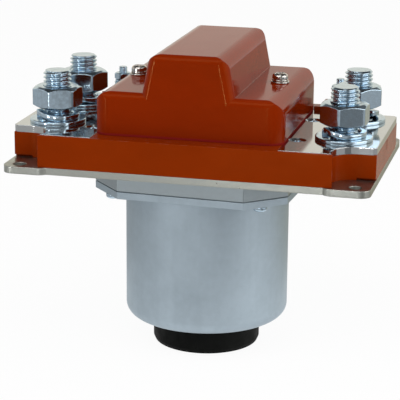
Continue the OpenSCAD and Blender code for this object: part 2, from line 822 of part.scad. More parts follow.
// Stainless shaft with a collar under the bush.
module shaft() {
  z0 = plunger_top - 14;
  z1 = z_bridge - bush_t - collar_t;
  color(silver)
    rotate_extrude()
      polygon([[0, z0], [shaft_r, z0], [shaft_r, z1], [collar_r, z1], [collar_r, z1 + collar_t],
               [shaft_r, z1 + collar_t], [shaft_r, shaft_top - 0.7], [shaft_r - 0.7, shaft_top],
               [0, shaft_top]]);
}

module shaft_bush() {
  z1 = z_bridge - bush_t;
  z2 = z_bridge + bridge_t + overtravel + 0.6;
  color(ivory)
    rotate_extrude()
      polygon([[shaft_r, z1], [7.2, z1], [7.2, z_bridge], [5.4, z_bridge], [5.4, z2], [shaft_r, z2]]);
}

module spring_retainer() {
  color(zinc)
    rotate_extrude()
      polygon([[shaft_r, spring_top], [9.6, spring_top], [9.6, spring_top - 1.2], [10.6, spring_top - 1.2],
               [10.6, spring_top + retainer_t], [shaft_r, spring_top + retainer_t]]);
}

module shaft_nut() {
  color(zinc) translate([0, 0, spring_top + retainer_t]) hex_nut(13, shaft_nut_h, shaft_r/thread_mean);
}

module return_spring() {
  color(steel)
    translate([0, 0, core_top - return_deep])
      coil_spring(4.2, 0.7, 7, return_deep + travel + gap + 10);
}

module contact_bridge() {
  color(copper)
    translate([0, 0, z_bridge]) linear_extrude(height = bridge_t) difference() {
      rrect(bridge_l, bridge_w, 4);
      circle(r = 5.46);
    }
}

module bridge_tips() {
  color(silver)
    at_corners(tip_at[0], tip_at[1]) translate([0, 0, z_bridge - tip_h]) cylinder(r = tip_r, h = tip_h);
}

module contact_spring() {
  color(steel)
    translate([0, 0, z_bridge + bridge_t])
      coil_spring(7.8, 1, spring_turns, spring_top - z_bridge - bridge_t);
}

rubber_cap();
can();
core_nut();
core_washer();
fixed_core();
guide_sleeve();
bobbin();
coil_winding();
coil_wrap();
coil_leads();
yoke_plate();
mounting_plate();
clamp_screws();
insulating_sheet();
base_block();
contact_plate_left();
contact_plate_right();
plate_screws();
fixed_tips();
power_studs();
flat_washers();
spring_washers();
power_nuts();
coil_studs();
coil_lower_nuts();
coil_flat_washers();
coil_spring_washers();
coil_nuts();
cover();
cover_flat_washers();
cover_spring_washers();
cover_screws();
stop_washer();
plunger();
shaft();
shaft_bush();
spring_retainer();
shaft_nut();
return_spring();
contact_bridge();
bridge_tips();
contact_spring();
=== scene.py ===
"""Looks of a direct-current contactor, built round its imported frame.

Metres in the scene and millimetres in the shapes, +Z up. The contactor stands on its rubber
foot at the origin, its base runs along X and its coil terminals are towards +Y.
"""

import json
import logging
import math
from dataclasses import dataclass
from enum import Enum
from functools import cached_property
from typing import Optional, Sequence

import bmesh
import bpy
import numpy as np
from mathutils import Matrix, Vector


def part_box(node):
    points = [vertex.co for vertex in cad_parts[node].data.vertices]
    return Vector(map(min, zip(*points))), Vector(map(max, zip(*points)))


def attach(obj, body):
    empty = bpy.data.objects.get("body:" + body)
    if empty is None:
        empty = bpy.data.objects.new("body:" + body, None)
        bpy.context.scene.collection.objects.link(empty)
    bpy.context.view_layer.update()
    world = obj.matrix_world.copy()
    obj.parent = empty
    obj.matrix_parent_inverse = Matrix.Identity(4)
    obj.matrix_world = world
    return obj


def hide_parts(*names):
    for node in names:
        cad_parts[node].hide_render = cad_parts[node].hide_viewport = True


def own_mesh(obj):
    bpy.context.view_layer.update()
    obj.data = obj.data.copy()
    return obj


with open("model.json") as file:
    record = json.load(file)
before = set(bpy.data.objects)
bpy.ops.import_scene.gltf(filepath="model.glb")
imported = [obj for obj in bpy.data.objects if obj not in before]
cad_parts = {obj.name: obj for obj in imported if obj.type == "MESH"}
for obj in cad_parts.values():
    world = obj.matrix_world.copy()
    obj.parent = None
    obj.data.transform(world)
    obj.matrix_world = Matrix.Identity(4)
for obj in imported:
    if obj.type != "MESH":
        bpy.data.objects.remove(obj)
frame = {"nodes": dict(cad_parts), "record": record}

Array = np.ndarray
# Radii and heights of points about Z, both of shape (rows, columns).
Rows = tuple[Array, Array]
Pair = tuple[float, float]
Triple = tuple[float, float, float]
Socket = bpy.types.NodeSocket
Outputs = bpy.types.bpy_prop_collection

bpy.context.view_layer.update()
LOG = logging.getLogger("contactor")
MM = 0.001
TURN = 2.0 * math.pi
# Radius in millimetres of the circle that closes a surface on its axis.
POLE = 1e-4


# Surfaces, with every length in millimetres.


@dataclass
class Patch:
    """A grid of points, rows by columns, that becomes quads.

    Attributes:
        points: Array of shape (rows, columns, 3); the last column joins the first.
    """

    points: Array

    def quads(self) -> Array:
        """Corner numbers: cell (i, j) joins (i, j), (i, j+1), (i+1, j+1), (i+1, j).

        Returns:
            Array of shape (cells, 4).
        """
        rows, cols = self.points.shape[:2]
        i, j = np.meshgrid(np.arange(rows - 1), np.arange(cols), indexing="ij")
        k = (j + 1) % cols
        cell = [i * cols + j, i * cols + k, (i + 1) * cols + k, (i + 1) * cols + j]
        return np.stack(cell, -1).reshape(-1, 4)

    def moved(self, x: float, y: float, z: float = 0.0, turn: float = 0.0) -> "Patch":
        """A copy turned about Z and then shifted.

        Args:
            x: Shift along X.
            y: Shift along Y.
            z: Shift along Z.
            turn: Turn about Z in degrees.

        Returns:
            The copy.
        """
        a = math.radians(turn)
        c, s = math.cos(a), math.sin(a)
        spin = np.array([[c, -s, 0.0], [s, c, 0.0], [0.0, 0.0, 1.0]])
        return Patch(self.points @ spin.T + np.array([x, y, z]))


def span(node: str) -> tuple[Array, Array]:
    """Lowest and highest corner of a node."""
    low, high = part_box(node)
    return np.array(low) / MM, np.array(high) / MM


def heights(node: str) -> Pair:
    """Lowest and highest point of a node."""
    low, high = span(node)
    return low[2], high[2]


def angles(count: int) -> Array:
    """Evenly spaced angles of one full turn, as many as count."""
    return np.arange(count) * TURN / count


def level(pairs: Sequence[Pair], cols: int) -> Rows:
    """Turned profile: each (radius, height) pair is one full circle.

    Args:
        pairs: Radius and height of each circle.
        cols: Points on each circle.

    Returns:
        One row for each pair.
    """
    table = np.array(pairs, float)
    return np.repeat(table[:, :1], cols, 1), np.repeat(table[:, 1:], cols, 1)


def flipped(rows: Rows) -> Rows:
    """The same rows in the opposite order."""
    return rows[0][::-1], rows[1][::-1]


def stacked(*parts: Rows) -> Patch:
    """Joins blocks of rows into one surface about Z: x = r cos t, y = r sin t, z = h.

    Args:
        *parts: Blocks of radii r and heights h.

    Returns:
        The surface.
    """
    radius, height = (np.concatenate(blocks) for blocks in zip(*parts))
    t = angles(radius.shape[1])
    return Patch(np.stack([radius * np.cos(t), radius * np.sin(t), height], -1))


def corner_arc(radius: float, start: float, end: float, count: int = 5) -> Array:
    """Quarter-round offsets: (radius cos a, radius sin a), a from start to end degrees."""
    a = np.radians(np.linspace(start, end, count))
    return radius * np.stack([np.cos(a), np.sin(a)], -1)


@dataclass(frozen=True)
class Thread:
    """Metric screw thread.

    Attributes:
        outer: Outer radius.
        pitch: Advance of one turn.
    """

    outer: float
    pitch: float

    @property
    def depth(self) -> float:
        """Depth of the groove, 0.6 of the pitch."""
        return 0.6 * self.pitch

    def rows(self, low: float, high: float, cols: int, lead_in: float = 0.0,
             fine: int = 9) -> Rows:
        """Threaded length: r = outer - depth * g.

        The groove g climbs from crest to root with the distance from the crest line
        z = pitch * t / turn. A cone at the upper end caps r at outer - lead_in + (high - z),
        so that the thread runs out.

        Args:
            low: Lower end.
            high: Upper end.
            cols: Points round the axis.
            lead_in: Depth of the cone at the upper end, or 0 for none.
            fine: Rows to one pitch.

        Returns:
            The rows from the lower end to the upper one.
        """
        crest, flank = 0.14, 0.68
        count = max(2, int(math.ceil((high - low) / self.pitch * fine)) + 1)
        z = np.linspace(low, high, count)[:, None]
        phase = np.mod(z / self.pitch - angles(cols)[None, :] / TURN, 1.0)
        away = np.abs(2.0 * phase - 1.0)
        groove = np.clip((away - crest) / flank, 0.0, 1.0)
        r = self.outer - self.depth * groove
        if lead_in > 0.0:
            r = np.minimum(r, self.outer - lead_in + (high - z))
        return r, np.repeat(z, cols, 1)


@dataclass(frozen=True)
class Hexagon:
    """Hexagonal outline whose corners are a little blunt.

    Attributes:
        across: Width across the flats.
        blunt: How far each corner is cut back.
    """

    across: float
    blunt: float = 0.15

    def radius(self, cols: int) -> Array:
        """Half the width over the cosine of the angle from a flat's middle, less the corner.

        Args:
            cols: Points round the axis.

        Returns:
            Radius at each angle.
        """
        t = np.mod(angles(cols), TURN / 6.0) - TURN / 12.0
        corner = 0.5 * self.across / math.cos(TURN / 12.0) - self.blunt
        return np.minimum(0.5 * self.across / np.cos(t), corner)

    def face(self, z: float, rise: float, cols: int) -> Rows:
        """Rows from the turned-off end circle out to the flats.

        Past the circle the edge drops by tan 30 degrees of the way.

        Args:
            z: Height of the end circle.
            rise: 1 for an upper face and -1 for a lower one.
            cols: Points round the axis.

        Returns:
            The two rows, from the circle outwards.
        """
        circle = np.full(cols, 0.45 * self.across)
        outer = np.maximum(self.radius(cols), circle)
        drop = (outer - circle) * math.tan(math.radians(30.0))
        return np.stack([circle, outer]), np.stack([np.full(cols, z), z - rise * drop])

    def nut(self, node: str, thread: Thread, cols: int) -> Patch:
        """Nut with both faces turned off, countersunk bore mouths and a threaded bore.

        Args:
            node: Node that gives its heights.
            thread: Thread of the bore.
            cols: Points round the axis.

        Returns:
            The closed surface.
        """
        (low, high), flare, play = heights(node), 0.2, 0.02
        bore, mouth = thread.outer - thread.depth, thread.outer + flare
        sink = (mouth - bore) * 0.7
        top, foot = self.face(high, 1.0, cols), self.face(low, -1.0, cols)
        radii, z = thread.rows(low + sink, high - sink, cols, fine=7)
        inside = (radii - play, z)
        seam = (inside[0][:1], inside[1][:1])
        return stacked(seam, inside, level([(mouth, high)], cols), top, flipped(foot),
                       level([(mouth, low)], cols), seam)


def bolt(node: str, thread: Thread, head: Hexagon, tall: float, cone: float,
         end: Sequence[Pair], cols: int, fine: int = 9) -> Patch:
    """Bolt whose head is below and whose upper end has a cone.

    Args:
        node: Node that gives its heights.
        thread: Thread of the shank.
        head: Hexagon of the head.
        tall: Height of the head.
        cone: Depth of the cone.
        end: Radius and height over the end of the circles that close it.
        cols: Points round the axis.
        fine: Rows to one pitch.

    Returns:
        The closed surface.
    """
    (low, top), fillet, neck = heights(node), 0.3, thread.outer - 0.1
    seat = low + tall
    root = level([(neck + fillet, seat), (neck, seat + fillet)], cols)
    return stacked(level([(POLE, low)], cols), head.face(low, -1.0, cols),
                   flipped(head.face(seat, 1.0, cols)), root,
                   thread.rows(seat + fillet, top, cols, cone, fine),
                   level([(r, top + z) for r, z in end], cols))


def washer(node: str, inner: float, outer: float, soft: float, cols: int) -> Patch:
    """Flat washer: a rounded rectangle carried round the axis.

    Args:
        node: Node that gives its heights.
        inner: Bore radius.
        outer: Outer radius.
        soft: Radius of the upper outer edge.
        cols: Points round the axis.

    Returns:
        The closed surface.
    """
    (low, top), under, break_low, break_top = heights(node), 0.15, 0.12, 0.25
    edge = corner_arc(soft, 90.0, 0.0) + np.array([outer - soft, top - soft])
    foot = corner_arc(under, 0.0, -90.0, 3) + np.array([outer - under, low + under])
    start = (inner, low + break_low)
    pairs = [start, (inner, top - break_top), (inner + break_top, top)]
    pairs += edge.tolist() + foot.tolist() + [(inner + break_low, low), start]
    return stacked(level(pairs, cols))


def helix(radius: float, theta: Array, height: Array, section: Array) -> Patch:
    """Section carried along the curve (R cos t, R sin t, h(t)) and closed at both ends.

    A point of the section (u, v) lands at curve + u * radial + v * (radial x tangent).

    Args:
        radius: Radius R of the curve.
        theta: Angles t of the steps.
        height: Heights h of the steps.
        section: Closed section of shape (count, 2).

    Returns:
        The surface, with each end drawn in to its middle.
    """
    centre = np.stack([radius * np.cos(theta), radius * np.sin(theta), height], -1)
    radial = np.stack([np.cos(theta), np.sin(theta), np.zeros_like(theta)], -1)
    along = np.gradient(centre, axis=0)
    upward = np.cross(radial, along / np.linalg.norm(along, axis=1, keepdims=True))
    body = (centre[:, None] + section[None, :, :1] * radial[:, None]
            + section[None, :, 1:] * upward[:, None])
    first, last = (np.repeat(ring.mean(0)[None, None], len(section), 1)
                   for ring in (body[0], body[-1]))
    return Patch(np.concatenate([first, body, last]))


def split_ring(node: str, inner: float, outer: float, thick: float, start: float,
               cols: int) -> Patch:
    """Flattened spring washer: a softened rectangle whose last quarter bends up, clockwise.

    The height is z = low + thick/2 + lift * u * u * (3 - 2u) at the angle start - t, with u
    from 0 at t = 258 degrees to 1 at t = 343.

    Args:
        node: Node that gives its heights.
        inner: Bore radius.
        outer: Outer radius.
        thick: Thickness of the section.
        start: Direction of the low end in degrees.
        cols: Steps round the axis.

    Returns:
        The closed surface.
    """
    (low, high), bend, end = heights(node), 258.0, 343.0
    lift = high - low - thick
    half, tall, soft = 0.5 * (outer - inner), 0.5 * thick, 0.16 * thick
    quarters = ((0.0, 1, 1), (90.0, -1, 1), (180.0, -1, -1), (270.0, 1, -1))
    corners = [corner_arc(soft, a, a + 90.0, 4) + np.array([(half - soft) * x, (tall - soft) * y])
               for a, x, y in quarters]
    t = np.linspace(0.0, math.radians(end), cols)
    u = np.clip((np.degrees(t) - bend) / (end - bend), 0.0, 1.0)
    z = low + 0.5 * thick + lift * u * u * (3.0 - 2.0 * u)
    return helix(0.5 * (inner + outer), math.radians(start) - t, z, np.concatenate(corners))


def wire_spring(node: str, radius: float, wire: float, turns: float) -> Patch:
    """Compression spring with closed ends.

    The first and last three quarter turns climb at most 1.5 wire radii, the rest evenly.

    Args:
        node: Node that gives its heights.
        radius: Radius of the coils.
        wire: Radius of the wire.
        turns: Number of turns.

    Returns:
        The closed surface.
    """
    (low, high), to_a_turn, blur = heights(node), 40, 6
    n = np.linspace(0.0, turns, int(turns * to_a_turn) + 1)
    rise = high - low - 2.0 * wire
    shut, lift = 0.75, min(1.5 * wire, 0.2 * rise)
    z = np.interp(n, [0.0, shut, turns - shut, turns], [0.0, lift, rise - lift, rise])
    window = 2 * blur + 1
    z = np.convolve(np.pad(z, blur, mode="edge"), np.ones(window) / window, mode="valid")
    return helix(radius, n * TURN, low + wire + z, corner_arc(wire, 0.0, 330.0, 12))


class Head(Enum):
    """Forms of a cross-recessed screw head."""

    PAN = "pan"
    FLUSH = "flush"


@dataclass(frozen=True)
class CrossScrew:
    """Screw with a cross recess; its head's seat is at height 0 and its head is above.

    Attributes:
        head: Form of the head.
        radius: Radius of the head.
        rise: Height of a pan head, or depth of a flush one.
        thread: Thread of the shank.
        length: Length of the shank under the seat.
        threaded: Length of the thread, measured from the tip.
        cross_turn: Direction of the recess in degrees.
    """

    head: Head
    radius: float
    rise: float
    thread: Thread
    length: float
    threaded: float
    cross_turn: float = 20.0

    def crown(self, cols: int) -> Rows:
        """Head's top: a flattened dome less the recess, two slots that taper downwards.

        The dome is z = edge + crest * sqrt(1 - (r/R)^3.2). Each slot is as deep as
        smooth(long - |u|) * smooth(wide - |v|), and its heart is deeper.

        Args:
            cols: Points round the axis.

        Returns:
            The rows from the middle outwards.
        """
        pan = self.head is Head.PAN
        s = np.linspace(0.0, 1.0, 30)[:, None]
        r = np.maximum(self.radius * np.sin(0.5 * math.pi * s), POLE) * np.ones((1, cols))
        edge = 0.38 * self.rise if pan else 0.0
        crest = self.rise - edge if pan else 0.2
        z = edge + crest * np.sqrt(np.clip(1.0 - (r / self.radius) ** 3.2, 0.0, 1.0))
        t = angles(cols)[None, :] - math.radians(self.cross_turn)
        u, v = np.abs(r * np.cos(t)), np.abs(r * np.sin(t))
        long, wide, middle, soft = (part * self.radius for part in (0.6, 0.15, 0.3, 0.07))

        def smooth(d: Array) -> Array:
            """Smooth step from 0 to 1 over twice the softness."""
            q = np.clip(0.5 + 0.5 * d / soft, 0.0, 1.0)
            return q * q * (3.0 - 2.0 * q)

        slots = np.maximum(smooth(long - u) * smooth(wide - v),
                           smooth(long - v) * smooth(wide - u))
        heart = smooth(middle - r)
        return r, z - self.radius * (0.34 * slots + 0.16 * heart * slots)

    def surface(self, cols: int) -> Patch:
        """The whole screw: crown, side, underside, plain neck, thread and blunt tip.

        Args:
            cols: Points round the axis.

        Returns:
            The closed surface.
        """
        neck = self.thread.outer - 0.4 * self.thread.depth
        tip = -self.length
        start = tip + self.threaded
        radii, z = self.thread.rows(tip, start, cols, fine=8)
        radii = np.minimum(radii, self.thread.outer - self.thread.depth + (z - tip))
        if self.head is Head.PAN:
            under = [(self.radius, 0.0), (neck + 0.2, 0.0)]
        else:
            under = [(self.radius, -0.12), (neck, -self.rise)]
        under += [(neck, min(-0.2, start + 0.05)), (neck, start + 0.02)]
        last = level([(radii[0].min(), tip), (POLE, tip)], cols)
        return stacked(self.crown(cols), level(under, cols), flipped((radii, z)), last)


# Finishes.


class Graph:
    """Node tree of a material or a world, with short ways to add and join its nodes."""

    def __init__(self, owner: bpy.types.ID) -> None:
        """Empties the tree.

        Args:
            owner: The material or the world.
        """
        owner.use_nodes = True
        self.nodes, self.links = owner.node_tree.nodes, owner.node_tree.links
        self.nodes.clear()

    @cached_property
    def coords(self) -> Socket:
        """Object coordinates."""
        return self.add("TexCoord")["Object"]

    def add(self, kind: str, inputs: Optional[dict] = None, **settings: object) -> Outputs:
        """Adds a node, sets its properties, and sets or joins its inputs.

        Args:
            kind: Kind of shader node.
            inputs: Value or output socket for each input, by name or number.
            **settings: Properties of the node.

        Returns:
            The node's outputs.
        """
        node = self.nodes.new("ShaderNode" + kind)
        for key, value in settings.items():
            setattr(node, key, value)
        for key, value in (inputs or {}).items():
            if isinstance(value, Socket):
                self.links.new(value, node.inputs[key])
            else:
                node.inputs[key].default_value = value
        return node.outputs

    def surface(self, inputs: dict) -> None:
        """Ends a material with one shader that takes these inputs."""
        self.add("OutputMaterial", {"Surface": self.add("BsdfPrincipled", inputs)["BSDF"]})

    def stretched(self, scale: Triple) -> Socket:
        """Object coordinates with each axis scaled."""
        return self.add("Mapping", {"Vector": self.coords, "Scale": scale})["Vector"]

    def height(self) -> Socket:
        """Height of the shaded point in metres."""
        return self.add("SeparateXYZ", {0: self.coords})["Z"]

    def noise(self, scale: float, detail: float = 3.0, rough: float = 0.5,
              where: Optional[Socket] = None) -> Socket:
        """Noise of about scale features to the metre, from 0 to 1."""
        return self.add("TexNoise", {"Vector": where or self.coords, "Scale": scale,
                                     "Detail": detail, "Roughness": rough})["Fac"]

    def ranged(self, value: Socket, source: Pair, target: Pair = (0.0, 1.0)) -> Socket:
        """Value carried from the source range into the target range, and clamped."""
        names = ("Value", "From Min", "From Max", "To Min", "To Max")
        return self.add("MapRange", dict(zip(names, (value, *source, *target))))["Result"]

    def sums(self, operation: str, *values: object) -> Socket:
        """One step of arithmetic."""
        return self.add("Math", dict(enumerate(values)), operation=operation)[0]

    def blend(self, factor: Socket, a: object, b: object) -> Socket:
        """Colour between a and b."""
        return self.add("Mix", {0: factor, 6: a, 7: b}, data_type="RGBA")[2]

    def edge(self, radius: float) -> tuple[Socket, Socket]:
        """Normal that rounds sharp edges, and how near a surface is to such an edge.

        Args:
            radius: Rounding in metres.

        Returns:
            The rounded normal, and a factor that is 1 on an edge and 0 on a plain face.
        """
        soft = self.add("Bevel", {"Radius": radius}, samples=6)["Normal"]
        plain = self.add("NewGeometry")["Normal"]
        dot = self.add("VectorMath", {0: soft, 1: plain}, operation="DOT_PRODUCT")["Value"]
        return soft, self.ranged(dot, (0.995, 0.86))

    def relief(self, height: Socket, depth: float, normal: Optional[Socket] = None) -> Socket:
        """Normal bumped by height times depth metres."""
        inputs = {"Height": height, "Distance": depth, "Strength": 1.0}
        return self.add("Bump", inputs | ({"Normal": normal} if normal else {}))["Normal"]


def rgba(colour: Sequence[float], by: float = 1.0) -> tuple[float, ...]:
    """Colour times a factor, with full alpha."""
    return (*(min(1.0, share * by) for share in colour), 1.0)


@dataclass(frozen=True)
class Finish:
    """What every finish has.

    Attributes:
        name: Name of the finish, which is also its material slot in the record.
        colour: Linear colour.
        rough: Lowest and highest roughness.
    """

    name: str
    colour: Triple
    rough: Pair

    def material(self) -> bpy.types.Material:
        """Makes the material once; the frame's plain one has the bare name.

        Returns:
            The shared material.
        """
        name = self.name + "_finish"
        if name not in bpy.data.materials:
            self.build(Graph(bpy.data.materials.new(name)))
        return bpy.data.materials[name]

    def build(self, g: Graph) -> None:
        """Fills the graph; each kind of finish has its own way."""
        raise NotImplementedError


@dataclass(frozen=True)
class Moulding(Finish):
    """Glossy moulded plastic: flow clouds, a faint skin and rubbed edges.

    Attributes:
        skin: Height of the skin's ripple in metres.
        rub: How much lighter a rubbed edge is.
        foot: Height in metres under which it turns matt crimson, as at a sealed joint.
    """

    skin: float = 6e-6
    rub: float = 0.10
    foot: float = 0.0

    def build(self, g: Graph) -> None:
        """Colour from two clouds, roughness from a third, and a ripple over rounded edges.

        Args:
            g: Graph that it fills.
        """
        soft, edge = g.edge(0.0005)
        clouds = g.ranged(g.noise(38.0, 4.0, 0.55, g.stretched((1.0, 1.0, 2.2))), (0.3, 0.7))
        grain = g.ranged(g.noise(1500.0, 2.0), (0.35, 0.65))
        body = g.blend(clouds, rgba(self.colour, 0.93), rgba(self.colour, 1.07))
        body = g.blend(g.sums("MULTIPLY", grain, 0.25), body, rgba(self.colour, 0.86))
        pale = [c + (1.0 - c) * self.rub for c in self.colour]
        patchy = g.ranged(g.noise(260.0, 4.0, 0.7), (0.48, 0.75), (0.0, 0.7))
        body = g.blend(g.sums("MULTIPLY", edge, patchy), body, rgba(pale))
        rough = g.ranged(g.noise(90.0, 5.0, 0.62), (0.32, 0.72), self.rough)
        if self.foot > 0.0:
            crimson, fade = (0.2, 0.01, 0.01, 1.0), 0.0004
            deep = g.ranged(g.height(), (self.foot - fade, self.foot), (1.0, 0.0))
            body, rough = g.blend(deep, body, crimson), g.sums("MAXIMUM", rough, deep)
        fine = g.sums("MULTIPLY", g.noise(2600.0, 2.0), 0.12)
        ripple = g.relief(g.sums("ADD", g.noise(420.0, 2.0), fine), self.skin, soft)
        gloss, tint = 0.09, (1.0, 0.6, 0.2, 1.0)
        g.surface({"Base Color": body, "Roughness": rough, "Normal": ripple,
                   "Specular IOR Level": gloss, "Specular Tint": tint})


class Lay(Enum):
    """Direction of the marks that working left in a metal, as scales along X, Y and Z."""

    NONE = (1.0, 1.0, 1.0)
    DRAWN_UP = (1.0, 1.0, 0.08)
    ALONG_X = (0.05, 1.0, 1.0)
    TURNED = (0.03, 0.03, 1.0)


@dataclass(frozen=True)
class Plated(Finish):
    """Metal with a thin plating or a bare worked skin.

    Attributes:
        lay: Direction of the working marks.
        marks: Marks to the metre.
        groove: Depth of the marks in metres.
        cloud: Features of the plating's mottle to the metre.
        mottle: How much the mottle darkens the colour.
        tarnish: Linear colour that the dull patches lean towards.
        soften: Rounding of sharp edges in metres.
    """

    lay: Lay = Lay.NONE
    marks: float = 900.0
    groove: float = 2e-6
    cloud: float = 160.0
    mottle: float = 0.16
    tarnish: Triple = (0.42, 0.44, 0.46)
    soften: float = 0.0003

    def build(self, g: Graph) -> None:
        """Mottled colour, roughness that follows mottle and marks, and marks as relief.

        Args:
            g: Graph that it fills.
        """
        soft, edge = g.edge(self.soften)
        streak = g.noise(self.marks, 3.0, 0.6, g.stretched(self.lay.value))
        cloud = g.noise(self.cloud, 5.0, 0.6)
        fine = g.noise(self.cloud * 7.0, 2.0, 0.5)
        both = g.sums("ADD", g.sums("MULTIPLY", cloud, 0.7), g.sums("MULTIPLY", fine, 0.3))
        dulled = [c * (1.0 - self.mottle) + t * self.mottle
                  for c, t in zip(self.colour, self.tarnish)]
        body = g.blend(g.ranged(both, (0.38, 0.66)), rgba(self.colour),
                       rgba(dulled, 1.0 - 0.5 * self.mottle))
        stained = g.ranged(streak, (0.35, 0.7), (0.0, 0.5 * self.mottle))
        body = g.blend(stained, body, rgba(self.tarnish))
        patchy = g.ranged(g.noise(500.0, 3.0), (0.35, 0.65), (0.15, 0.6))
        body = g.blend(g.sums("MULTIPLY", edge, patchy), body, rgba(self.colour, 1.15))
        low, spread = self.rough[0], self.rough[1] - self.rough[0]
        rough = g.sums("ADD", g.ranged(cloud, (0.35, 0.68), (low, low + 0.6 * spread)),
                       g.ranged(streak, (0.35, 0.7), (0.0, 0.4 * spread)))
        marks = g.sums("ADD", streak, g.sums("MULTIPLY", cloud, 0.6))
        g.surface({"Base Color": body, "Roughness": rough, "Metallic": 1.0,
                   "Normal": g.relief(marks, self.groove, soft)})


@dataclass(frozen=True)
class Rubber(Finish):
    """Black moulded rubber with a fine matt skin and a little bloom."""

    def build(self, g: Graph) -> None:
        """Near-black body, pale bloom in soft patches, pitted skin.

        Args:
            g: Graph that it fills.
        """
        soft, edge = g.edge(0.0006)
        bloom = g.ranged(g.noise(70.0, 5.0, 0.65), (0.5, 0.8), (0.0, 0.5))
        worn = g.sums("MAXIMUM", bloom, g.sums("MULTIPLY", edge, 0.35))
        pits, gloss = 1.4e-5, 0.08
        g.surface({"Base Color": g.blend(worn, rgba(self.colour), rgba(self.colour, 2.6)),
                   "Roughness": g.ranged(g.noise(300.0, 3.0), (0.3, 0.7), self.rough),
                   "Normal": g.relief(g.noise(1800.0, 3.0, 0.6), pits, soft),
                   "Specular IOR Level": gloss})


@dataclass(frozen=True)
class Pressed(Finish):
    """Pressed or woven insulating board, or filled nylon: flecks of fibre in a matt body.

    Attributes:
        fleck: Linear colour of the flecks.
        size: Flecks to the metre.
        flow: Scales along X, Y and Z that draw the flecks out.
        amount: How strongly the flecks show.
    """

    fleck: Triple = (0.5, 0.5, 0.5)
    size: float = 900.0
    flow: Triple = (1.0, 1.0, 1.0)
    amount: float = 0.3

    def build(self, g: Graph) -> None:
        """Body colour with drawn-out flecks, and a felted relief.

        Args:
            g: Graph that it fills.
        """
        soft, _ = g.edge(0.0003)
        fibre = g.noise(self.size, 4.0, 0.7, g.stretched(self.flow))
        broad = g.ranged(g.noise(60.0, 3.0), (0.3, 0.7))
        body = g.blend(broad, rgba(self.colour, 0.88), rgba(self.colour, 1.1))
        shown, felt = g.ranged(fibre, (0.5, 0.8), (0.0, self.amount)), 1.2e-5
        g.surface({"Base Color": g.blend(shown, body, rgba(self.fleck)),
                   "Roughness": g.ranged(fibre, (0.3, 0.7), self.rough[::-1]),
                   "Normal": g.relief(fibre, felt, soft)})


@dataclass(frozen=True)
class Banded(Finish):
    """Something laid in bands up the Z axis: the turns of a winding, or the laps of a tape.

    Attributes:
        pitch: Height of one band in metres.
        groove: Depth between bands in metres.
        metal: Metallic share of the body.
        shade: Linear colour painted between the bands, as painted shade in the grooves between
            turns or laps.
    """

    pitch: float = 0.0006
    groove: float = 1.5e-4
    metal: float = 0.0
    shade: Triple = (0.1, 0.04, 0.02)

    def build(self, g: Graph) -> None:
        """Bands from the height over the pitch, rounded as abs(sin), with clouds over them.

        Args:
            g: Graph that it fills.
        """
        phase = g.sums("MULTIPLY", g.height(), math.pi / self.pitch)
        wave = g.sums("ABSOLUTE", g.sums("SINE", phase))
        cloud = g.ranged(g.noise(120.0, 4.0, 0.6), (0.3, 0.7))
        body = g.blend(cloud, rgba(self.colour, 0.82), rgba(self.colour, 1.12))
        # Painted shade: the colour darkens towards shade in the grooves between the bands.
        groove_shade = g.ranged(wave, (0.0, 0.45), (0.75, 0.0))
        g.surface({"Base Color": g.blend(groove_shade, body, rgba(self.shade)),
                   "Roughness": g.ranged(cloud, (0.0, 1.0), self.rough),
                   "Metallic": self.metal, "Normal": g.relief(wave, self.groove)})


# Top of the crimson line along the cover's foot, in metres.
COVER_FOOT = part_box("cover")[0].z + 0.0012

